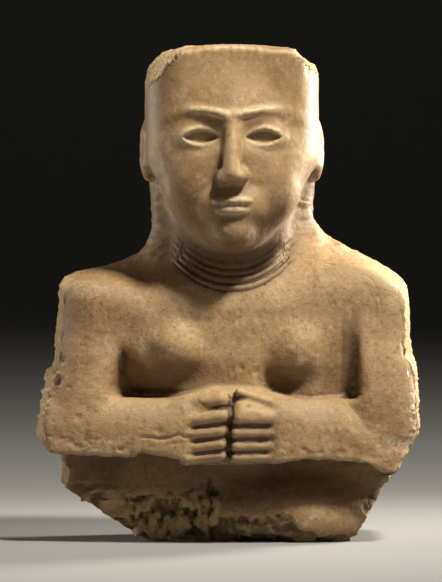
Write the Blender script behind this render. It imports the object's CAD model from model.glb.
# %% [markdown]
# # A broken half figure in alabaster
# A half-length figure of a woman, carved from one block. Her fists meet in front of her, her eyes
# are hollowed for an inlay, and the crown of the head is cut level for a separate head of hair.
# The block has lost its lower half, the outer skin of both arms and two corners of the crown.
#
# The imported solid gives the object's place and size, and this script only gives it its looks. It
# starts by loading that frame and keeping its box.

import bpy
import numpy as np
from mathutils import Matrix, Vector


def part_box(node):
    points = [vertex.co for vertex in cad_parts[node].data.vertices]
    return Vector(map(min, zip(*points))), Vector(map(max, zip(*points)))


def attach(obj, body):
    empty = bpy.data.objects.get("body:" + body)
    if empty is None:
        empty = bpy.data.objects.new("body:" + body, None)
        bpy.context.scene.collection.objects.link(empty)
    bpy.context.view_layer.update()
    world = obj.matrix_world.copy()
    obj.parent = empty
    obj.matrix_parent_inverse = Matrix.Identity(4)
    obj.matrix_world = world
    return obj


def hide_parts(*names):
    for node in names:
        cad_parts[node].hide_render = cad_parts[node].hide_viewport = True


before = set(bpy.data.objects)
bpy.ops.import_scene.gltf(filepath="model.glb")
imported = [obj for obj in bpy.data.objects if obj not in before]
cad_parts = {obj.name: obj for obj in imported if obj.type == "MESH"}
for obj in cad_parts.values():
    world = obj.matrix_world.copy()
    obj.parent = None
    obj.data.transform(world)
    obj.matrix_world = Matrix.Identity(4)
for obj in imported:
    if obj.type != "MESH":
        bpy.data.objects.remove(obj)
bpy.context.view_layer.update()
low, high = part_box("half_figure")
CARVED_HEIGHT = 330.0  # the figure is described as if it were this many millimetres tall
MM = (high.z - low.z) / CARVED_HEIGHT
sides = [round(1000 * side, 1) for side in high - low]
print("the solid is", sides, "mm; one carving unit is", round(MM, 6), "m")

# %% [markdown]
# ## Shapes as fields
# A carving has no seams: forearm runs into wrist, cheek into jaw. It could be modelled as one
# subdivided mesh and pushed about by hand, but soft unions are hard to keep clean that way. Here
# each form is a signed field instead: a function of a point that is below nought inside the
# stone, nought on its face and above nought outside. Two fields are joined by taking the smaller
# one, with a rounded valley where they meet.
#
# Every function takes a point p as three arrays x, y, z of one shape, so a whole net of points is
# worked out at once.

# %% Ways to put fields together
def join(a, b, reach):
    """The smaller of two fields.

    Where they differ by less than reach, a parabola rounds the valley between them.
    """
    share = np.clip(0.5 + 0.5 * (b - a) / reach, 0, 1)
    return b + (a - b) * share - reach * share * (1 - share)


def keep_inside(a, b, reach):
    """The larger of two fields, with the edge between them rounded."""
    return -join(-a, -b, reach)


def carve(a, b, reach):
    """Field a with field b taken away from it."""
    return keep_inside(a, -b, reach)


def ease(share):
    """From nought to one along 3 t squared minus 2 t cubed, flat at both ends."""
    t = np.clip(share, 0, 1)
    return t * t * (3 - 2 * t)


def curve(where, knots):
    """A smooth line through the knots (place, value).

    It is a cubic between each two knots, with slopes that never overshoot.
    """
    place, value = np.array(knots, float).T
    span = np.diff(place)
    rise = np.diff(value) / span
    slope = np.zeros_like(value)
    same_way = rise[:-1] * rise[1:] > 0
    total = np.where(same_way, rise[:-1] + rise[1:], 1)
    slope[1:-1] = np.where(same_way, 2 * rise[:-1] * rise[1:] / total, 0)
    slope[0], slope[-1] = rise[0], rise[-1]
    t = np.clip(where, place[0], place[-1])
    i = np.clip(np.searchsorted(place, t) - 1, 0, len(span) - 1)
    s = (t - place[i]) / span[i]
    ends = (1 + 2 * s) * (1 - s) ** 2 * value[i] + s * s * (3 - 2 * s) * value[i + 1]
    return ends + span[i] * s * (1 - s) * ((1 - s) * slope[i] - s * slope[i + 1])


print("two fields that both read 1 join, with a reach of 4, to", join(1.0, 1.0, 4.0))

# %% The few forms that everything is built from
def egg(p, centre, radii):
    """An ellipsoid: k (k - 1) / g, where k is the scaled distance from the centre, g its slope."""
    scaled = [(c - o) / r for c, o, r in zip(p, centre, radii)]
    near = np.sqrt(sum(c * c for c in scaled)) + 1e-9
    steep = np.sqrt(sum((c / r) ** 2 for c, r in zip(scaled, radii))) + 1e-9
    return near * (near - 1) / steep


def rod(p, start, end, start_radius, end_radius, depth=1.0):
    """Distance to a line from start to end, less a radius that changes along it.

    A depth above one stretches the rod front to back.
    """
    squeeze = np.array([1, 1 / depth, 1])
    q = [c * s for c, s in zip(p, squeeze)]
    a = np.array(start) * squeeze
    along = np.array(end) * squeeze - a
    t = np.clip(sum((c - o) * d for c, o, d in zip(q, a, along)) / (along @ along), 0, 1)
    away = np.sqrt(sum((c - o - t * d) ** 2 for c, o, d in zip(q, a, along)))
    return away - (start_radius + (end_radius - start_radius) * t)


def rounded_box(p, centre, half, radius):
    """Distance to a box drawn in by radius, less that radius."""
    q = [np.abs(c - o) - (h - radius) for c, o, h in zip(p, centre, half)]
    outside = np.sqrt(sum(np.maximum(c, 0) ** 2 for c in q))
    return outside + np.minimum(np.maximum(np.maximum(q[0], q[1]), q[2]), 0) - radius


def plane(p, on, facing):
    """Height above a plane through a point, along the direction it faces."""
    normal = np.array(facing) / np.linalg.norm(facing)
    return sum((c - o) * n for c, o, n in zip(p, on, normal))


def only_where(mask, shape, p, far=60.0):
    """A field worked out only where the mask is true, and set far off elsewhere to save time."""
    field = np.full(mask.shape, far)
    if mask.any():
        field[mask] = shape([c[mask] for c in p])
    return field


probe = [np.array([0.0, 10.0]), np.zeros(2), np.zeros(2)]
read = egg(probe, (0, 0, 0), (10, 10, 10)).round(3)
print("an egg of radius 10 at its centre and on its face:", read)

# %% [markdown]
# ## The body
# The real block is a slab about three times as wide as it is deep, flat at the back. Its front
# outline is drawn with smooth lines: the slope of the shoulders, the left edge and the right
# edge. The chest is nearly flat, and the arms come forward towards the elbows, so the forearms
# lie well in front of the chest with hollows above them.

# %% Outlines of the block
BACK = 40  # the flat back lies this far behind the middle
CHEST = 35  # the chest lies this far in front of it
WAIST = 64  # below this height the body is set back
SHELF = 95  # the hollows beside the arms stand on the forearms here
HINGE = 34  # the side breaks turn to the front from here
SHOULDER_LINE = [
    (-124, 164), (-117, 172), (-108, 177), (-84, 182), (-66, 188), (-58, 193), (-49, 201),
    (-30, 211), (30, 213), (56, 208), (63, 202.5), (87, 189.5), (107, 178.5), (116, 172),
    (122, 164),
]
LEFT_EDGE = [
    (0, -115), (47, -115), (52, -118), (57, -125), (63, -130), (70, -132), (84, -131),
    (96, -129), (107, -126), (116, -121.5), (150, -118.5), (170, -117), (200, -116),
]
RIGHT_EDGE = [
    (0, 111), (42, 112), (48, 121), (52, 127), (60, 127.5), (72, 126), (98, 124.5),
    (117, 124), (125, 120.5), (158, 119.5), (170, 117.5), (200, 115),
]


ARM_HOLLOWS = [  # side, wall, level, depth, slope across, slope up; reach of the rounding
    ((-1, 76, 4, 24, 0.62, 0.7), 2.5),
    ((1, 84, 11, 13, 0.75, 0.2), 4),
]
CHEST_DIPS = [  # centre, radii, reach of the rounding
    ((-20, -47, 105), (26, 12, 12), 12),
    ((32, -44, 107), (15, 16, 13), 7),
]
BREASTS = [  # the same, for each swell and each nipple
    ((-37, -29, 130), (17, 15, 16), 8),
    ((43, -28, 128), (16, 14, 16), 10),
    ((44.5, -39.5, 120.5), (2.4, 2.2, 2.4), 3),
    ((-35, -37.8, 123), (2, 1.6, 2), 3),
]


def arm_sides(p):
    """The arms' own rounded outer sides."""
    x, _, z = p
    return np.maximum(curve(z, LEFT_EDGE) + 1.5 - x, x - curve(z, RIGHT_EDGE))


def side_breaks(p):
    """Where the outer sides are split away, turned a little to the front."""
    x, y, z = p
    left = curve(z, LEFT_EDGE) - x + (HINGE - y) * 0.1
    right = x - curve(z, RIGHT_EDGE) + (HINGE - y) * (0.03 + 0.05 * ease((z - 108) / 12))
    return np.maximum(left, right)


def arm_hollow(p, side, wall, level, depth, across, up):
    """A wedge beside an arm, bounded by three planes with rounded corners.

    They are a wall along the arm, a floor on the forearm, and a back that lies depth behind the
    chest. The back is level at first, and then slants out to the chest.
    """
    x, y, z = p
    inward = wall - side * x
    slant = across * np.maximum(inward - level, 0) + up * (z - (SHELF + 5))
    back = (y + CHEST - depth + slant) / np.sqrt(1 + across**2 + up**2)
    return keep_inside(keep_inside(-inward, SHELF - z, 5), back, 6)


def torso(p):
    """Chest, shoulders and upper arms, a hollow inside each arm, and small breasts, set low."""
    x, y, z = p
    wide = np.abs(x)
    q = (wide, y, z)
    slope = 0.92 - 0.76 * ease((wide - 30) / 65)
    roof = curve(x, SHOULDER_LINE) - slope * np.maximum(15 - y, 0)
    bulge = 4 * (x / 115) ** 2 + 0.0006 * np.maximum(z - 120, 0) ** 2
    elbow = 11 * ease((152 - z) / 66) * ease((wide - 66) / 26)
    front_and_back = np.maximum(bulge - CHEST - elbow - y, y - BACK)
    stone = keep_inside(arm_sides(p), front_and_back, 18 + 12 * ease((-x - 70) / 30))
    stone = carve(stone, rod(q, (68, -39, 150), (72.5, -40, 104), 4, 10), 5)
    for numbers, reach in ARM_HOLLOWS:
        stone = carve(stone, arm_hollow(p, *numbers), reach)
    for centre, radii, reach in CHEST_DIPS:
        stone = carve(stone, egg(p, centre, radii), reach)
    for centre, radii, reach in BREASTS:
        stone = join(stone, egg(p, centre, radii), reach)
    stone = keep_inside(stone, (z - roof) * 0.85, 14 - 9 * ease((wide - 80) / 30))
    return keep_inside(stone, WAIST - z, 10)


def waist(p):
    """The waist, set back under the forearms, with the swell of one hip left whole."""
    slab = rounded_box(p, (-2, 10, 20), (112, 30, WAIST + 10), 8)
    return join(slab, egg(p, (40, -4, 16), (66, 36, 30)), 8)


print("the shoulders slope from", SHOULDER_LINE[7][1], "to", SHOULDER_LINE[0][1], "above the foot")

# %% [markdown]
# ## Forearms and fists
# The forearms lie level across the body, so they are made as one beam with an upper edge, a lower
# edge and a front, each a smooth line by distance sideways. The fists are fingers lying one over
# another, each a short rod, so the cuts between them come from the valleys where rods meet. That
# gives the round, sausage-like fingers of the real carving, which grooves scratched into a plain
# block would not.

# %% The beam of the forearms, and the fists
BEAM_TOP = [
    (-128, 96), (-92, 95.5), (-75, 95), (-45, 96), (-28, 99.5), (-10, 103.5),
    (10, 103), (28, 99.5), (45, 96), (70, 94.5), (82, 88), (95, 79), (110, 74), (124, 72),
]
BEAM_LOW = [
    (-128, 58.5), (-65, 58), (-60, 61.2), (-45, 59), (-30, 56), (-8, 53.5), (8, 53.5),
    (28, 54.5), (48, 57), (80, 55), (94, 50), (104, 45), (113, 46.5), (121, 50), (130, 54),
]
BEAM_FRONT = [(0, -51.5), (20, -52.5), (32, -56), (45, -54.5), (70, -50.5), (100, -45), (128, -40)]
FINGERS = [(83.6, 5.2), (74, 4.7), (65.2, 4.5), (57.6, 3.8)]  # height above the foot, thickness
FIST_REACH = 27  # how far the fingers run out from the middle


def forearms(p):
    """A beam bounded above, below and in front, and at its ends by the arms' sides."""
    x, y, z = p
    stone = keep_inside(curve(np.abs(x), BEAM_FRONT) - y, (z - curve(x, BEAM_TOP)) * 0.95, 20)
    stone = keep_inside(stone, curve(x, BEAM_LOW) - z + 0.12 * (y + 40), 5)
    stone = keep_inside(stone, y - BACK / 2, 2)
    return keep_inside(stone, arm_sides(p), 12)


def fist(p, side):
    """Four fingers one over another, the back of the hand behind them, and the thumb on top."""
    middle = -2.4 + 2.6 * ease((p[2] - 72) / 20)
    q = (side * (p[0] - middle), p[1], p[2])
    stone = rod(q, (38, -42, 84), (10, -45, 91), 9, 9.5)
    for row, (height, thick) in enumerate(FINGERS):
        tip = height + (1.4 if side < 0 else 0)
        start = (FIST_REACH + row % 2, -50, height - (1.6 if side < 0 else 0))
        knuckle = (thick + 0.8, -54.5, tip)
        stone = join(stone, rod(q, start, knuckle, thick * 0.92, thick, 1.25), 0.7)
    if side > 0:
        stone = join(stone, rod(q, (23, -50, 84), (6, -52.5, 89.5), 4.2, 5.6, 1.2), 5)
        thumb = rod(q, (31, -47, 91), (4.6, -50, 100.4), 4.2, 3.6, 1.2)
        return join(stone, thumb, 0.8)
    thumb = rod(q, (31, -44.5, 92), (7.2, -49.5, 95.2), 5, 6.4, 1.2)
    crease = rod(q, (23, -53.5, 94.5), (16, -55, 91), 1.2, 0.5)
    return carve(join(stone, thumb, 0.8), crease, 1)


def fists(p):
    """The two fists, touching knuckle to knuckle."""
    return join(fist(p, -1), fist(p, 1), 0.6)


print("each fist has", len(FINGERS), "fingers and a thumb")

# %% [markdown]
# ## Neck, hair and head
# The neck rises out of the sloping chest and carries folds, lowest in front. Behind it the hair
# is one plain mass, as wide as the head, cut level at the crown. The face is a calm one on the
# usual proportions: hairline to brow, brow to nose and nose to chin are equal, and the face is
# five eyes wide.

# %% Neck, its folds and the hair
HAIR_WIDTH = [(160, 58), (200, 54.5), (215, 53.5), (240, 55.5), (270, 57), (330, 56)]


def neck(p):
    """A leaning column for the neck, and the hair behind it."""
    x, y, z = p
    column = rod(p, (0, 9, 150), (0, 6, 230), 44, 40, 0.76)
    nape = BACK - 4 + 12 * ease((z - 145) / 55)
    hair = keep_inside(np.abs(x) - curve(z, HAIR_WIDTH), np.maximum(2 - y, y - nape), 16)
    hair = keep_inside(hair, z - (CARVED_HEIGHT - 10), 10)
    return join(column, hair, 8)


FOLD_RISE, FOLD_WIDTH = 26.0, 45.0  # the folds lie this much higher, this far from the middle
FOLD_BEND = 2.2  # the power of the distance along which they rise
FOLD_PITCH, FOLD_HEIGHT = 5, 1.9  # from one crease to the next, and how far the rolls stand out


def neck_folds(p):
    """Rolls of skin lying like necklaces, lowest in front: half waves with creases between."""
    x, y, z = p
    level = z - FOLD_RISE * np.abs(x / FOLD_WIDTH) ** FOLD_BEND
    shown = ease((level - 165) / 2) * ease((187 - level) / 4)
    shown = shown * ease((2 - y) / 14) * ease((46 - np.abs(x)) / 12)
    return FOLD_HEIGHT * (np.abs(np.sin(np.pi * (level - 166) / FOLD_PITCH)) - 0.55) * shown


print("the folds rise", FOLD_RISE, "mm at", FOLD_WIDTH, "mm from the middle")

# %% The face
CHIN = 195.0
THIRD = 43.0  # hairline to brow, brow to nose and nose to chin
NOSE = CHIN + THIRD
BROW = CHIN + 2 * THIRD
MOUTH = CHIN + THIRD * 2 / 3
EYE = BROW - 0.3 * THIRD
EYE_WIDTH = 21.0
EAR_REACH = 56.5


def on_face(x, z):
    """How far forward the plain egg of the face reaches: the front half of an ellipsoid."""
    return -10 - 43 * np.sqrt(np.maximum(1 - (x / 50) ** 2 - ((z - CHIN - 67) / 70) ** 2, 0.04))


def brow(q):
    """One long arch each side: a chain of short rods on the face, thinner towards the temple."""
    t = np.linspace(0, 1, 8)
    xs = 5 + 36 * t
    zs = BROW + 1 + 4.6 * np.sin(np.pi * (0.08 + 0.74 * t)) - 4 * t**3
    knots = list(zip(xs, on_face(xs, zs) - 0.8, zs))
    radii = 2.4 - 0.9 * t
    links = [rod(q, *knots[i : i + 2], *radii[i : i + 2]) for i in range(len(knots) - 1)]
    return np.minimum.reduce(links)


def eye_hollow(q):
    """An almond between two arcs, cut straight in to a flat floor."""
    x, y, z = q
    above = np.hypot(x - EYE_WIDTH, z - (EYE + 5.2 - 17)) - 17
    below = np.hypot(x - EYE_WIDTH, z - (EYE - 4.4 + 18)) - 18
    return keep_inside(keep_inside(above, below, 1.0), y + 44.5, 1.0)


def face(p):
    """Egg, jaw and cheeks, then the hollows under the brows, lids, nose, mouth and chin."""
    _, y, z = p
    q = (np.abs(p[0]), y, z)
    stone = egg(p, (0, -10, CHIN + 67), (50, 43, 70))
    stone = join(stone, egg(p, (0, -30, CHIN + 18), (25, 21, 20)), 14)
    stone = join(stone, egg(q, (25, -31, NOSE), (20, 18, 26)), 12)
    stone = carve(stone, egg(q, (EYE_WIDTH + 2, -60, EYE + 2), (18, 13.5, 11.5)), 7)
    stone = join(stone, brow(q), 2.6)
    stone = join(stone, egg(q, (EYE_WIDTH, -40, EYE), (15.5, 10.8, 10)), 3)
    nose = rod(q, (0, -48.5, BROW), (0, -60, NOSE + 6.5), 4.4, 6, 1.15)
    nose = join(nose, egg(q, (5.4, -54.5, NOSE + 5), (5, 7, 4.8)), 4.5)
    stone = join(stone, keep_inside(nose, NOSE - z, 2.5), 4.5)
    stone = join(stone, egg(p, (0, -47, MOUTH), (20, 9, 13)), 7)
    stone = join(stone, egg(p, (0, -54, MOUTH + 2.9), (13.5, 5.2, 3)), 1.6)
    stone = join(stone, egg(p, (0, -53.5, MOUTH - 3.4), (11, 5.6, 3.5)), 1.6)
    stone = carve(stone, egg(p, (0, -58.5, MOUTH - 0.3), (14, 3.4, 0.8)), 0.8)
    stone = join(stone, egg(p, (0, -44.5, CHIN + 11), (12, 11, 9.5)), 8)
    return carve(stone, eye_hollow(q), 1.6)


def head(p):
    """A block with rounded corners, the face in front of it and the ears at its sides."""
    x, y, z = p
    q = (np.abs(x), y, z)
    stone = rounded_box(p, (0, 2, CARVED_HEIGHT - 30), (EAR_REACH, 44, 66), 26)
    stone = join(stone, only_where((y < 10) & (np.abs(x) < 70), face, p), 9)
    middle = (NOSE + BROW) / 2
    ear = egg(q, (EAR_REACH, 6, middle), (5.5, 10, 20))
    ear = carve(ear, egg(q, (EAR_REACH + 5.5, 1, middle + 2), (4, 6, 12)), 2)
    return join(stone, ear, 2)


print("chin", CHIN, "mouth", round(MOUTH), "nose", NOSE, "eyes", round(EYE), "brow", BROW)

# %% [markdown]
# ## Cuts and breaks
# The mason's level cut at the crown and the later breaks are all planes or slightly bent planes.
# They are kept in one list, because the same fields tell later on which parts of the surface are
# broken, and so rough.

# %% The planes, and the whole figure
def crown(p):
    """The level cut on top, domed by a few millimetres."""
    return p[2] - (CARVED_HEIGHT - 3.5 * (p[0] / 45) ** 2 - 1.5 * (p[1] / 45) ** 2)


def breaks(p):
    """The lost corners of the crown, the split sides and the slanting breaks below."""
    return [
        plane(p, (-47, -10, 316.5), (-0.78, -0.12, 0.62)),
        plane(p, (-38, 0, 326), (-0.33, 0, 0.95)),
        plane(p, (49, 0, 319), (0.62, 0, 0.75)),
        side_breaks(p),
        plane(p, (-84, 0, 18.5), (-0.54, 0.05, -0.84)),
        plane(p, (93.5, 0, 26), (0.86, 0.05, -0.51)),
    ]


def figure(p):
    """All the forms joined, then cut by the crown, the breaks and the level foot."""
    x, y, z = p
    stone = join(torso(p), waist(p), 0.5 + 4.5 * ease((25 - y) / 25))
    stone = join(stone, only_where((z > 35) & (z < 125), forearms, p), 3)
    in_front = (z > 40) & (z < 115) & (np.abs(x) < 60) & (y < -25)
    stone = join(stone, only_where(in_front, fists, p), 1.8)
    stone = join(stone, only_where(z > 140, neck, p), 9)
    stone = stone - neck_folds(p)
    stone = join(stone, only_where(z > 175, head, p), 3 + 3 * ease((y + 20) / 20))
    for cut in [crown(p), *breaks(p), -z]:
        stone = keep_inside(stone, cut, 2)
    return stone


chest_middle = figure([np.zeros(1), np.zeros(1), np.full(1, 130.0)])
print("the middle of the chest is", round(float(chest_middle[0]), 1), "mm inside")

# %% [markdown]
# ## A net drawn over the stone
# A field has no faces yet. Marching cubes would give a soup of slivers, so a net is used instead:
# u runs round the block and v runs up it. Each knot starts outside and walks in along a line. At
# every step the field says how far the stone still is, so the knot can move that far. Where the
# stone has a shelf, such as the underside of the forearms, the lines are tilted so that some of
# them strike it. Over the chest they run nearly straight back, so that they reach into the
# hollows beside the arms, and round the neck they bend with its folds.

# %% Where the knots start
COLUMNS = 312
RINGS = 286
CAP_RINGS = 13
WALK_STEPS, STRIDE = 45, 0.7  # how often a knot moves, and by how much of the field each time
SURFACE = 0.6  # about how far along its line, from the middle, a knot meets the stone
SIDE_SHARES = (0.64, 0.09, 0.18, 0.09)  # front, right, back, left
RING_DENSITY = [  # height, how closely the rings lie there
    (0, 1.4), (38, 1.4), (52, 2.2), (103, 2.2), (112, 1), (156, 1), (165, 2.3),
    (190, 2.3), (198, 1.4), (240, 1.5), (254, 2.2), (292, 2.2), (300, 0.8), (330, 0.8),
]
TILT = [  # height, how far the lines climb from their start to the middle
    (0, 0), (8, 0), (42, 44), (56, 48), (104, -22), (112, -22), (140, 0),
    (160, -6), (176, -6), (192, 20), (199, 20), (226, 0), (330, 0),
]


def round_the_block(count):
    """Points round a square, front first, with closer steps in the middle of the front."""
    u = np.arange(count) / count
    corners = np.cumsum([0, *SIDE_SHARES])
    x = np.interp(u, corners, [-1, 1, 1, -1, -1])
    y = np.interp(u, corners, [-1, -1, 1, 1, -1])
    front = u < corners[1]
    x = np.where(front, x * (1 - 0.28 * (1 - x * x)), x)
    return x, y


def ring_heights(count):
    """Heights at which the running total of the density passes equal steps."""
    z = np.linspace(0, CARVED_HEIGHT, 4000)
    total = np.cumsum(curve(z, RING_DENSITY))
    total = (total - total[0]) / (total[-1] - total[0])
    return np.interp((np.arange(count) + 0.5) / count, total, z)


def walk_in(hx, hy, heights):
    """Knots walked in along their lines.

    The share t of the line that is left falls, at each step, by the field times STRIDE over the
    line's length.
    """
    v = heights[:, None]
    lift = FOLD_RISE * curve(v, [(140, 0), (168, 1), (188, 1), (228, 0)])
    reach = curve(v, [(0, 236), (150, 236), (180, 150), (200, 112), (330, 112)])
    depth = curve(v, [(0, 78), (165, 78), (195, 90), (330, 92)])
    middle = curve(v, [(0, 3), (180, 3), (200, 0), (330, 0)])
    tilt = curve(v, TILT)
    dx, dy = reach * hx, depth * hy
    on_front = hy <= -1
    straight = np.where(on_front, 0.8 * (1 - hx**4), 0) * ease((v - 46) / 8) * ease((172 - v) / 12)

    def knots(t):
        """Places a share t out from the middle, on lines partly straightened, bent and tilted."""
        x = dx * (t + straight * (SURFACE - t))
        bend = np.where(on_front, np.minimum(np.abs(x) / FOLD_WIDTH, 1.05) ** FOLD_BEND, 1.1)
        return [x, middle + t * dy, v + lift * bend + (SURFACE - t) * tilt]

    t = np.ones_like(dx)
    for _ in range(WALK_STEPS):
        t = np.maximum(t - STRIDE * figure(knots(t)) / np.hypot(dx, dy), 0.02)
    return knots(t)


def cap(edge, height):
    """Rings that shrink towards the middle of an edge ring, to close an end."""
    shares = 1 - ((np.arange(CAP_RINGS) + 0.35) / CAP_RINGS) ** 1.1
    mx, my = edge[0].mean(), edge[1].mean()
    level = np.full((CAP_RINGS, edge[0].size), float(height))
    return [mx + np.outer(shares, edge[0] - mx), my + np.outer(shares, edge[1] - my), level]


print(COLUMNS, "columns and", RINGS, "rings, and", CAP_RINGS, "rings to close each end")

# %% Settling and evening the net
def slope(p, field, value, step=0.25):
    """The field's rise along x, y and z, from a point a quarter of a millimetre away."""
    moved = [[c + step * (i == k) for i, c in enumerate(p)] for k in range(3)]
    return [(field(q) - value) / step for q in moved]


def settle(p, field, times, most=6.0):
    """Newton's step to the surface: move along the slope by the field over the slope squared."""
    for _ in range(times):
        value = field(p)
        rise = slope(p, field, value)
        move = np.clip(value / (sum(c * c for c in rise) + 1e-6), -most, most)
        p = [c - move * r for c, r in zip(p, rise)]
    return p


def even(p, pull=0.5):
    """Each knot moves part of the way to the mean of its four neighbours."""
    moved = []
    for c in p:
        around = (np.roll(c, 1, 1) + np.roll(c, -1, 1)) / 2
        padded = np.vstack([np.full_like(c[:1], c[0].mean()), c, np.full_like(c[:1], c[-1].mean())])
        moved.append(c + pull * ((around + (padded[2:] + padded[:-2]) / 2) / 2 - c))
    return moved


def lay_net():
    """The whole net: the walk in, a cap at each end, and rounds of evening and settling."""
    rings = walk_in(*round_the_block(COLUMNS), ring_heights(RINGS))
    bottom = [c[::-1] for c in cap([c[0] for c in rings], 0)]
    top = cap([c[-1] for c in rings], CARVED_HEIGHT)
    net = settle([np.vstack(parts) for parts in zip(bottom, rings, top)], figure, 4)
    for _ in range(10):
        net = settle(even(net), figure, 1)
    return settle(net, figure, 3, 2.0)


net = lay_net()
farthest = float(np.abs(figure(net)).max().round(3))
print("the net has", net[0].shape, "knots and lies within", farthest, "mm of the stone")

# %% [markdown]
# ## Damage and age
# Broken stone is not smooth: alabaster parts in small tilted facets with sugary grain, and the
# edges of a break lose chips. The worked skin is worn, finely pitted, and at the back still shows
# the point chisel. All of it comes from repeatable noise: a whole-number scramble of the cell
# that a point is in, never a random stream. Each layer of noise has its own seed, a whole number
# that is given after the size of its cells in millimetres.

# %% Noise on a lattice
def scramble(cell, seed):
    """A number from 0 to 1 for each cell, by multiplying, adding and folding its bits."""
    x, y, z = (c.astype(np.int64).astype(np.uint64) for c in cell)
    mixed = x * np.uint64(374761393) + y * np.uint64(668265263) + z * np.uint64(2246822519)
    mixed = (mixed + np.uint64(seed * 3266489917 % 2**32)) & np.uint64(0xFFFFFFFF)
    mixed = ((mixed ^ (mixed >> np.uint64(15))) * np.uint64(2246822519)) & np.uint64(0xFFFFFFFF)
    mixed = ((mixed ^ (mixed >> np.uint64(13))) * np.uint64(3266489917)) & np.uint64(0xFFFFFFFF)
    return (mixed ^ (mixed >> np.uint64(16))).astype(float) / 2**32


def cloud(p, size, seed):
    """Smooth noise from -1 to 1: a cube's scrambled corners, blended by ease along each edge."""
    scaled = [c / size for c in p]
    cell = [np.floor(c) for c in scaled]
    u, v, w = (ease(c - f) for c, f in zip(scaled, cell))
    total = 0
    for i in (0, 1):
        for j in (0, 1):
            for k in (0, 1):
                corner = scramble([cell[0] + i, cell[1] + j, cell[2] + k], seed)
                share = corner * (u if i else 1 - u) * (v if j else 1 - v) * (w if k else 1 - w)
                total = total + share
    return 2 * total - 1


def grain(p, size, seed, octaves=3):
    """Clouds at half the size and half the strength each time."""
    return sum(0.5**n * cloud(p, size / 2**n, seed + 17 * n) for n in range(octaves))


def nearest_seeds(p, size, seed):
    """For each point the nearest of the seeds, one to a cell: its offset, distance and cell."""
    scaled = [c / size for c in p]
    home = [np.floor(c) for c in scaled]
    best = np.full(p[0].shape, 9.0)
    offset = [np.zeros_like(c) for c in p]
    found = [np.zeros_like(c) for c in p]
    for step in np.ndindex(3, 3, 3):
        cell = [h + s - 1 for h, s in zip(home, step)]
        jitter = [scramble(cell, seed + 5 * k) for k in range(3)]
        away = [c - f - j for c, f, j in zip(scaled, cell, jitter)]
        distance = np.sqrt(sum(c * c for c in away))
        closer = distance < best
        best = np.where(closer, distance, best)
        offset = [np.where(closer, a, o) for a, o in zip(away, offset)]
        found = [np.where(closer, c, f) for c, f in zip(cell, found)]
    return offset, best, found


def facets(p, size, seed):
    """Small flat faces: round each seed the height follows a plane with its own scrambled tilt."""
    offset, _, cell = nearest_seeds(p, size, seed)
    tilts = [2 * scramble(cell, seed + 40 + k) - 1 for k in range(3)]
    return sum(o * t for o, t in zip(offset, tilts)) + 0.5 * (scramble(cell, seed + 50) - 0.5)


def shells(p, size, seed):
    """Shell-shaped hollows with ridges between: the squared distance to the nearest seed."""
    return nearest_seeds(p, size, seed)[1] ** 2 - 0.3


def pits(p, size, seed, share):
    """Round pits from 0 to 1 deep, as one less the squared distance over a scrambled radius.

    Only this share of the seeds hold one.
    """
    _, distance, cell = nearest_seeds(p, size, seed)
    radius = 0.16 + 0.3 * scramble(cell, seed + 60) ** 2
    held = scramble(cell, seed + 70) < share
    return np.where(held, np.maximum(1 - (distance / radius) ** 2, 0), 0)


print("clouds run from", cloud(net, 9, 1).min().round(2), "to", cloud(net, 9, 1).max().round(2))

# %% Chips along the broken edges
CHIP_LINES = [  # start, end, how many, size
    ((-118, -33, 60), (-30, -52, 57), 16, 3.0),
    ((30, -54, 55), (118, -40, 49), 7, 2.2),
    ((-66, -20, 4), (78, -30, 2), 17, 5.5),
    ((-110, -18, 40), (-62, -20, 3), 9, 4.5),
    ((101, -18, 42), (80, -26, 5), 7, 3.6),
    ((-112, -30, 172), (-118, -34, 66), 15, 3.6),
    ((113, -28, 172), (119, -38, 60), 13, 3.0),
    ((-54, -38, 312), (-56, 30, 309), 6, 3.4),
    ((-46, -44, 318), (-24, -44, 327), 5, 2.0),
    ((50, -36, 314), (54, 36, 312), 6, 3.0),
    ((-60, 40, 2), (80, 40, 2), 12, 4.0),
]


def scatter_chips():
    """Centres and radii of small eggs strung along each line at scrambled places."""
    chips = []
    for row, (start, end, count, size) in enumerate(CHIP_LINES):
        n = np.arange(count)
        spot = [np.full(count, float(row)), n.astype(float), np.zeros(count)]
        t = (n + scramble(spot, 3)) / count
        centres = np.outer(1 - t, start) + np.outer(t, end)
        centres += size * 0.45 * np.stack([2 * scramble(spot, s) - 1 for s in (5, 6, 7)], 1)
        radii = size * np.stack([0.5 + 1.2 * scramble(spot, s) ** 1.5 for s in (8, 9, 10)], 1)
        chips += list(zip(centres, radii))
    return chips


LOST = [  # single pieces gone from the lower break: centre and radii
    ((20, -47, -3), (30, 28, 7.5)), ((-45, -36, -3), (10, 19, 8)), ((-14, -38, -3), (10, 18, 6)),
    ((-70, -25, 17), (11, 5, 13)), ((-24, -26, 22), (2, 6.5, 8)), ((-4, -38, 15), (18, 9, 4)),
    ((14, -44, 13), (17, 8, 4)), ((32, -48, 8), (16, 11, 8)),
]
lost = [(np.array(centre, float), np.array(radii, float)) for centre, radii in LOST]
chips = scatter_chips() + lost


def chipped(p):
    """The figure with every chip carved out near its own centre.

    The chips are looked at from a point that wanders with the clouds, so their edges are ragged.
    """
    stone = figure(p)
    q = [c + 1.3 * cloud(p, 6, 80 + k) + 0.7 * cloud(p, 2.6, 90 + k) for k, c in enumerate(p)]
    for centre, radii in chips:
        reach = radii.max() * 1.3 + 3
        near = np.abs(q[0] - centre[0]) < reach
        near &= (np.abs(q[1] - centre[1]) < reach) & (np.abs(q[2] - centre[2]) < reach)
        if near.any():
            stone[near] = carve(stone[near], egg([c[near] for c in q], centre, radii), 1.2)
    return stone


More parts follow.
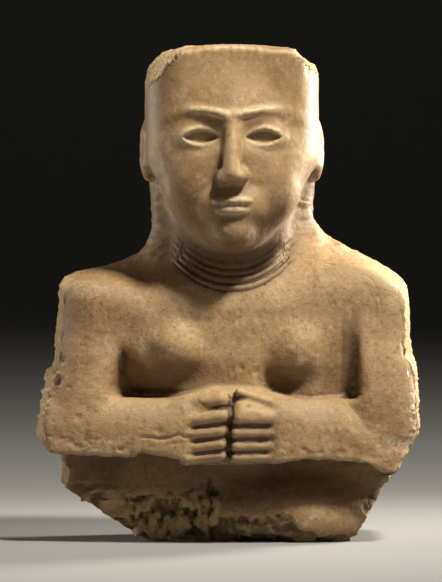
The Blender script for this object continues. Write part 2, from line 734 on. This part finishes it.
net = settle(net, chipped, 3, 2.5)
for _ in range(2):
    net = settle(even(net, 0.35), chipped, 1, 2.5)
net = settle(net, chipped, 2, 1.5)
nearly_all = float(np.quantile(np.abs(chipped(net)), 0.99).round(3))
print(len(chips), "chips; 99 in 100 knots lie within", nearly_all, "mm of the stone")

# %% [markdown]
# ## Where the stone is broken, hollow or worn
# The same field measures the surface. Just outside it, a point over flat stone reads its own
# height, but a point in a narrow place reads less, since there is stone on other sides too: that
# gives the hollows, where dirt stays. Just inside, a point behind an edge reads less depth than
# it should: that gives the worn edges.

# %% Masks over the net
LIP = [  # sideways, the height at which the whole hip ends below
    (-90, 12), (-12, 18), (24, 18), (38, 15), (46, 9), (60, 7), (76, 5), (100, 5),
]
value = figure(net)
rise = slope(net, figure, value)
length = np.sqrt(sum(c * c for c in rise)) + 1e-9
normal = [c / length for c in rise]


def outward(distance):
    """The net moved along its normals."""
    return [c + distance * n for c, n in zip(net, normal)]


def roofed(reach):
    """How much stone lies up and to the front, this far away: one if the place is inside it."""
    place = [c + reach * d for c, d in zip(outward(1.5), (0, -0.35, 0.94))]
    return np.clip(1 - figure(place) / (0.5 * reach), 0, 1)


hollow = np.clip(1 - figure(outward(3)) / 3, 0, 1)
shelter = np.maximum.reduce([roofed(7), 0.9 * roofed(14), 0.75 * roofed(26)])
worn_edge = np.clip(1 + figure(outward(-4)) / 4, 0, 1)

x, y, z = net
nearest_break = np.max(breaks(net), axis=0)
wander = 1.2 * grain(net, 9, 11)
broken = ease((nearest_break + 1.8 + wander * 0.5) / 1.4)
spall_edge = 36 + 8 * cloud([x, y * 0, z * 0], 15, 12) + 3.5 * wander
spall_end = -8 + 5 * cloud([x * 0, y * 0, z], 13, 13)
spall = ease((spall_edge - z) / 3) * ease((spall_end - x) / 4) * (y < 6)
lip_edge = curve(x, LIP) + 3 * cloud([x, y * 0, z * 0], 15, 14) + 2 * wander
lip = ease((lip_edge - z) / 2.5)
broken = np.maximum(broken, np.maximum(spall, lip))
dressed = ease((y - 20) / 12) * (1 - broken)
on_head = ease((z - 200) / 25) * ease((18 - y) / 14)
means = [mask.mean().round(3) for mask in (broken, hollow, worn_edge)]
print("on the mean, broken, hollow and worn are", *means)

# %% The relief of the broken stone
rough = 2.4 * facets(net, 12, 21) + 1.6 * facets(net, 5.5, 22)
rough = rough + grain(net, 4.5, 23) - 1.2 * pits(net, 4.5, 29, 0.6)
lumps = -10 * shells([x, y, 0.8 * z], 9.5, 24) - 7 * shells(net, 4.8, 25)
lumps = lumps + 4 * facets(net, 7, 26) - 1.5
faces_front = ease((-0.25 - normal[1]) / 0.4)
faces_down = ease((-0.25 - normal[2]) / 0.4)
below_hip = lip * (1 - spall) * (y < 6) * (-4 * shells([x + 0.7 * z, y, z], 7, 27) - 3.4)
raw_relief = broken * rough * (0.8 - 0.45 * faces_down) + spall * faces_front * lumps + below_hip
hollow = np.maximum(hollow, 0.75 * broken * np.clip((-0.6 - raw_relief) / 4, 0, 1))
print("broken stone lies", raw_relief.min().round(1), "to", raw_relief.max().round(1), "mm out")

# %% The relief of the worked skin
skin = 0.35 * cloud(net, 26, 31) + 0.16 * grain(net, 7, 32)
below_neck = 1 - 0.85 * ease((z - 178) / 16)
pitted = (0.9 * pits(net, 7.5, 33, 0.45) + 0.5 * pits(net, 3.6, 34, 0.45)) * below_neck
lower_arms = ease((80 - z) / 22) * ease((z - 50) / 6) * ease((-30 - y) / 8)
lower_arms = lower_arms * ease((np.abs(x) - 28) / 12)
battered = lower_arms * (0.6 * facets(net, 7, 35) - 1.1 * pits(net, 9, 36, 0.6))
crack_line = 71 + 0.05 * (x + 45) + 1.3 * cloud([x, y * 0, z * 0], 6, 37)
crack = np.exp(-(((z - crack_line) / 0.9) ** 2))
crack = crack * ease((x + 62) / 4) * ease((-25 - x) / 4) * (y < -35)
coarse_hair = ease((np.abs(x) - 43) / 5) * ease((238 - z) / 14)
coarse_hair = coarse_hair * ease((z - 176) / 8) * ease((y + 8) / 6)
print("the skin rises", skin.max().round(2), "mm; its pits are", pitted.max().round(2), "mm deep")

# %% Tool marks, and moving the surface in and out
STROKE, FLUTE = 6.5, 5  # from one chisel stroke to the next, at the back and on the crown


def ridges(place):
    """A saw that runs from one to nought and back to one between whole numbers."""
    return np.abs(2 * (place - np.floor(place)) - 1)


stroke = (x * 0.55 + z * 0.83 + 4 * cloud(net, 30, 41)) / STROKE
tooled = 0.55 * ridges(stroke) * (0.4 + 0.6 * ease(0.5 + cloud(net, 19, 42)))
flute = (x * 0.9 - y * 0.3 + 2 * cloud(net, 14, 43)) / FLUTE
tooled_top = 0.4 * ridges(flute)
crown_top = ease((z - (CARVED_HEIGHT - 7)) / 3) * (1 - broken)
height = raw_relief + (1 - broken) * (skin - pitted + battered)
height = height - dressed * tooled - crown_top * tooled_top - 1.1 * crack
hair_relief = grain(net, 4, 38) - 0.9 * pits(net, 4.5, 39, 0.7)
height = height + coarse_hair * hair_relief * (1 - broken)
on_foot = z < 0.3
height = np.where(on_foot, 0, height * ease(z / 1.2))
net = [c + height * n for c, n in zip(net, normal)]
net[2] = np.where(on_foot, 0, np.maximum(net[2], 0))
print("the surface moves from", height.min().round(2), "to", height.max().round(2), "mm")

# %% [markdown]
# ## The mesh
# Knots become vertices and each opening of the net becomes a face. The two ends close with a fan
# round one last vertex. The masks are stored on the vertices, so the finish can follow the
# surface.

# %% Building the piece
def net_faces(rings, columns):
    """Index quads between neighbouring rings, wrapped round, and a triangle fan at each pole."""
    knots = np.arange(rings * columns).reshape(rings, columns)
    lower, upper = knots[:-1], knots[1:]
    quads = np.stack([lower, np.roll(lower, -1, 1), np.roll(upper, -1, 1), upper], -1)
    quads = quads.reshape(-1, 4)
    south, north = rings * columns, rings * columns + 1
    bottom = np.stack([np.full(columns, south), np.roll(knots[0], -1), knots[0]], -1)
    top = np.stack([np.full(columns, north), knots[-1], np.roll(knots[-1], -1)], -1)
    return quads.tolist() + bottom.tolist() + top.tolist()


def with_poles(values):
    """A grid as one row of numbers, and the mean of its first and of its last ring."""
    return np.concatenate([values.ravel(), [values[0].mean(), values[-1].mean()]])


mesh = bpy.data.meshes.new("carved_half_figure")
corners = np.stack([with_poles(c) for c in net], -1) * MM
corners[:, 2] += low.z
mesh.from_pydata(corners.tolist(), [], net_faces(*net[0].shape))
mesh.validate()
mesh.shade_smooth()
masks = {
    "broken": broken,
    "hollow": hollow,
    "shelter": shelter,
    "edge": worn_edge,
    "head": on_head,
}
for name, mask in masks.items():
    attribute = mesh.attributes.new(name, "FLOAT", "POINT")
    attribute.data.foreach_set("value", with_poles(mask).astype(np.float32))
figure_piece = bpy.data.objects.new("carved_half_figure", mesh)
bpy.context.scene.collection.objects.link(figure_piece)
mesh.calc_loop_triangles()
print(len(mesh.vertices), "vertices and", len(mesh.loop_triangles), "triangles")

# %% [markdown]
# ## Alabaster
# Old alabaster is honey-coloured, a little cloudy, and lets light in under its skin. A picture
# mapped on it would stretch over the folds, so the colour is built in space from noise: wide
# clouds, faint tilted bands, fine specks. Then age is laid on it by the masks: brown earth in the
# hollows, paler rubbed edges, and raw sugary stone on the breaks. The small class below lets
# shader maths be written as plain sums.

# %% Writing shader maths as sums
class Sock:
    """A shader value that can be added, multiplied and so on; each operation adds one Math node."""

    def __init__(self, tree, socket):
        self.tree, self.socket = tree, socket

    def node(self, kind, settings=None, out=0, **inputs):
        """Any node: its type, its settings first, then values or links for its sockets."""
        made = self.tree.nodes.new(kind)
        for key, setting in (settings or {}).items():
            setattr(made, key, setting)
        for key, given in inputs.items():
            by_number = key[0] == "_" and key[1:].isdigit()
            place = int(key[1:]) if by_number else key.replace("_", " ")
            if isinstance(given, Sock):
                self.tree.links.new(given.socket, made.inputs[place])
            else:
                made.inputs[place].default_value = given
        return Sock(self.tree, made.outputs[out])

    def math(self, operation, first, second=0.0, clamp=False):
        """One Math node."""
        settings = {"operation": operation, "use_clamp": clamp}
        return self.node("ShaderNodeMath", settings, _0=first, _1=second)

    def __add__(self, other):
        return self.math("ADD", self, other)

    def __sub__(self, other):
        return self.math("SUBTRACT", self, other)

    def __rsub__(self, other):
        return self.math("SUBTRACT", other, self)

    def __mul__(self, other):
        return self.math("MULTIPLY", self, other)

    def __truediv__(self, other):
        return self.math("DIVIDE", self, other)

    def __pow__(self, other):
        return self.math("POWER", self, other)

    __radd__, __rmul__ = __add__, __mul__

    def clamp(self):
        """Held between 0 and 1."""
        return self.math("ADD", self, 0.0, True)

    def between(self, start, end):
        """From 0 at start to 1 at end, with an easy start and finish."""
        settings = {"interpolation_type": "SMOOTHSTEP"}
        return self.node("ShaderNodeMapRange", settings, Value=self, From_Min=start, From_Max=end)

    def mix(self, first, second):
        """Colour first where this is 0, and colour second where it is 1."""
        settings = {"data_type": "RGBA"}
        return self.node("ShaderNodeMix", settings, 2, Factor=self, _6=first, _7=second)


def linear(red, green, blue):
    """A colour given by its screen values from 0 to 255, as the shader's linear light."""
    share = np.array([red, green, blue]) / 255
    light = np.where(share <= 0.04045, share / 12.92, ((share + 0.055) / 1.055) ** 2.4)
    return (*light.tolist(), 1.0)


print("mid grey on a screen is", [round(c, 3) for c in linear(128, 128, 128)], "as light")

# %% The stone's finish
HONEY, AMBER, CREAM = linear(178, 146, 101), linear(152, 119, 77), linear(206, 178, 132)
BLOTCH, STAIN, SPECK = linear(134, 101, 63), linear(112, 82, 50), linear(96, 69, 42)
PALE_PATCH, PALE_SPECK = linear(212, 186, 142), linear(222, 198, 156)
RAW, CRYSTAL = linear(200, 172, 126), linear(236, 220, 184)
EARTH, RUBBED = linear(62, 43, 24), linear(232, 211, 170)
GRIT_RELIEF, SPECK_RELIEF, WEAR_RELIEF = 0.00006, 0.0003, 0.0006  # metres of bump
SUGAR_RELIEF, LUMP_RELIEF = 0.0012, 0.003  # the same, on the breaks


def noise(space, scale, detail=3.0, rough_share=0.55, stretch=(1, 1, 1), shift=0.0):
    """Clouds from 0 to 1, with this many cells to the metre."""
    place = (shift, shift, shift)
    mapped = space.node("ShaderNodeMapping", Vector=space, Scale=stretch, Location=place)
    sockets = {"Vector": mapped, "Scale": scale, "Detail": detail, "Roughness": rough_share}
    return space.node("ShaderNodeTexNoise", {"noise_dimensions": "3D"}, **sockets)


def alabaster():
    """Base colour, roughness and bump of the whole piece."""
    material = bpy.data.materials.new("aged_alabaster")
    material.use_nodes = True
    tree = material.node_tree
    shader = tree.nodes["Principled BSDF"]
    space = Sock(tree, tree.nodes.new("ShaderNodeTexCoord").outputs["Object"])

    def stored(name):
        """A mask that is stored on the vertices."""
        settings = {"attribute_name": name, "attribute_type": "GEOMETRY"}
        return space.node("ShaderNodeAttribute", settings, 2)

    mask = {name: stored(name) for name in masks}
    wide = noise(space, 9, 3)
    blotch = noise(space, 26, 5, 0.62, shift=3.1)
    speck = noise(space, 340, 3, 0.7)
    band = noise(space, 14, 4, 0.6, (0.6, 0.7, 2.6), 5.7)
    grit = noise(space, 620, 5, 0.8, shift=1.3)
    stain = noise(space, 75, 4, 0.7, shift=7.7)

    smooth_skin = mask["head"] * (1 - mask["broken"])
    colour = wide.between(0.36, 0.68).mix(HONEY, AMBER)
    colour = (band.between(0.5, 0.72) * 0.5).mix(colour, CREAM)
    colour = (blotch.between(0.5, 0.72) * 0.45).mix(colour, BLOTCH)
    colour = (stain.between(0.54, 0.72) * (0.45 - 0.25 * smooth_skin)).mix(colour, STAIN)
    colour = (stain.between(0.46, 0.3) * 0.4).mix(colour, PALE_PATCH)
    colour = (speck.between(0.54, 0.68) * (0.5 - 0.25 * smooth_skin)).mix(colour, SPECK)
    colour = (speck.between(0.44, 0.3) * 0.3).mix(colour, PALE_SPECK)

    raw = (mask["broken"] * (0.55 + 0.35 * blotch)).clamp()
    colour = raw.mix(colour, RAW)
    colour = (mask["broken"] * grit.between(0.46, 0.8) * 0.3).mix(colour, CRYSTAL)

    dirt = (mask["hollow"].between(0.08, 0.7) + mask["shelter"].between(0.12, 0.9) * 0.72).clamp()
    dirt = dirt * (0.6 + 0.8 * blotch)
    dirt = (dirt * (1 - 0.25 * mask["broken"]) * (1 - 0.55 * smooth_skin)).clamp()
    colour = (dirt * 0.88).mix(colour, EARTH)
    rubbed = mask["edge"].between(0.12, 0.5) * (1 - mask["broken"])
    rubbed = (rubbed * speck.between(0.35, 0.6) * 0.45).clamp()
    colour = rubbed.mix(colour, RUBBED)
    tree.links.new(colour.socket, shader.inputs["Base Color"])

    roughness = 0.64 - smooth_skin * 0.1 + mask["broken"] * 0.22
    roughness = roughness + dirt * 0.15 + (blotch - 0.5) * 0.2
    tree.links.new(roughness.clamp().socket, shader.inputs["Roughness"])

    wear = noise(space, 180, 5, 0.75, shift=9.2)
    fine = 1 - smooth_skin * 0.5
    relief = grit * GRIT_RELIEF + speck * SPECK_RELIEF * fine + wear * WEAR_RELIEF * fine
    sugar = noise(space, 420, 4, 0.7, shift=2.2) * SUGAR_RELIEF
    sugar = sugar + noise(space, 130, 4, 0.7, shift=4.4) * LUMP_RELIEF
    relief = relief + sugar * mask["broken"]
    bump = relief.node("ShaderNodeBump", Strength=1.0, Distance=1.0, Height=relief)
    tree.links.new(bump.socket, shader.inputs["Normal"])
    shader.inputs["Subsurface Weight"].default_value = 0.08
    shader.inputs["Subsurface Radius"].default_value = (1.0, 0.6, 0.3)
    shader.inputs["Subsurface Scale"].default_value = 0.003
    shader.inputs["IOR"].default_value = 1.52
    print("the finish has", len(tree.nodes), "nodes")
    return material


mesh.materials.append(alabaster())

# %% [markdown]
# ## The stand-in studio
# A pale floor that curves up into a backdrop, one soft key light high on the right, a weaker
# light behind each side to pick out the broken edges, and only a trace of light from the front,
# so that the undersides stay dark.

# %% Floor and backdrop
FLOOR_WIDTH, FLOOR_FRONT, FLOOR_BACK = 10.0, -5.0, 3.4  # in metres, as is all of the studio
SWEEP, WALL = 1.2, 3.6  # the radius of the curve, and the height of the wall
PAPER = (0.27, 0.266, 0.26, 1)


def sweep_floor():
    """A flat floor, a quarter circle and a wall, drawn as one profile carried sideways."""
    turn = np.linspace(0, np.pi / 2, 24)
    depth = np.concatenate([[FLOOR_FRONT], FLOOR_BACK + SWEEP * np.sin(turn), [FLOOR_BACK + SWEEP]])
    rise = np.concatenate([[0], SWEEP * (1 - np.cos(turn)), [WALL]])
    across = np.linspace(-FLOOR_WIDTH / 2, FLOOR_WIDTH / 2, 3)
    grid = np.stack(np.broadcast_arrays(across[None, :], depth[:, None], rise[:, None] + low.z), -1)
    rows, columns = grid.shape[:2]
    knots = np.arange(rows * columns).reshape(rows, columns)
    quads = np.stack([knots[:-1, :-1], knots[:-1, 1:], knots[1:, 1:], knots[1:, :-1]], -1)
    quads = quads.reshape(-1, 4)
    floor_mesh = bpy.data.meshes.new("studio_floor")
    floor_mesh.from_pydata(grid.reshape(-1, 3).tolist(), [], quads.tolist())
    floor_mesh.shade_smooth()
    floor = bpy.data.objects.new("studio_floor", floor_mesh)
    bpy.context.scene.collection.objects.link(floor)
    paper = bpy.data.materials.new("pale_paper")
    paper.use_nodes = True
    shader = paper.node_tree.nodes["Principled BSDF"]
    shader.inputs["Base Color"].default_value = PAPER
    shader.inputs["Roughness"].default_value = 0.9
    floor_mesh.materials.append(paper)
    return floor


floor = sweep_floor()
print("the floor is", FLOOR_WIDTH, "m wide")

# %% Lights
WARM = (1.0, 0.94, 0.85)
DIM_SKY = (1.0, 0.97, 0.93, 1)
AIM = (0, 0, 0.18)  # what every lamp is turned towards
LAMPS = [  # name, place, size, power in watts, spread in degrees
    ("key", (0.86, -0.84, 2.3), 0.36, 18.5, 80),
    ("front", (0.7, -1.1, 0.8), 0.3, 0.05, 40),
    ("right_edge", (0.85, 0.5, 0.42), 0.25, 2.7, 50),
    ("left_edge", (-0.85, 0.3, 0.22), 0.25, 0.6, 70),
]


def soft_light(name, place, size, power, spread):
    """A square area light, with a grid that keeps its light within a spread."""
    lamp = bpy.data.lights.new(name, "AREA")
    lamp.size, lamp.energy, lamp.color, lamp.spread = size, power, WARM, np.radians(spread)
    holder = bpy.data.objects.new(name, lamp)
    bpy.context.scene.collection.objects.link(holder)
    holder.location = place
    holder.rotation_mode = "QUATERNION"
    holder.rotation_quaternion = (Vector(AIM) - Vector(place)).to_track_quat("-Z", "Y")


for lamp in LAMPS:
    soft_light(*lamp)

world = bpy.data.worlds.new("studio")
bpy.context.scene.world = world
world.use_nodes = True
world.node_tree.nodes["Background"].inputs["Color"].default_value = DIM_SKY
world.node_tree.nodes["Background"].inputs["Strength"].default_value = 0.03
bpy.context.scene.view_settings.view_transform = "Standard"
print(len(LAMPS), "lamps, of", [power for _, _, _, power, _ in LAMPS], "watts")

# %% Camera
FRAME_HEIGHT, DISTANCE = 0.3885, 3.5  # what the frame takes in at the figure, from how far off
SENSOR = 24.0  # the sensor's height in millimetres
CAMERA_RISE = np.radians(2.0)
middle = Vector((-0.0073, 0, 0.1655 + low.z))
towards = Vector((0, -np.cos(CAMERA_RISE), np.sin(CAMERA_RISE)))
camera = bpy.data.cameras.new("camera")
camera.sensor_fit, camera.sensor_height = "VERTICAL", SENSOR
camera.lens = SENSOR * DISTANCE / FRAME_HEIGHT
camera_holder = bpy.data.objects.new("camera", camera)
bpy.context.scene.collection.objects.link(camera_holder)
camera_holder.location = middle + towards * DISTANCE
camera_holder.rotation_mode = "QUATERNION"
camera_holder.rotation_quaternion = (-towards).to_track_quat("-Z", "Y")
bpy.context.scene.camera = camera_holder
print("the camera stands", DISTANCE, "m away")

# %% [markdown]
# ## Handing over
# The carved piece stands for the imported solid, moves with the row's one body and takes its finish
# from the alabaster slot. Both boxes are written down, so that their sizes can be compared.

# %% The piece takes the solid's place
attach(figure_piece, "root")
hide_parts("half_figure")
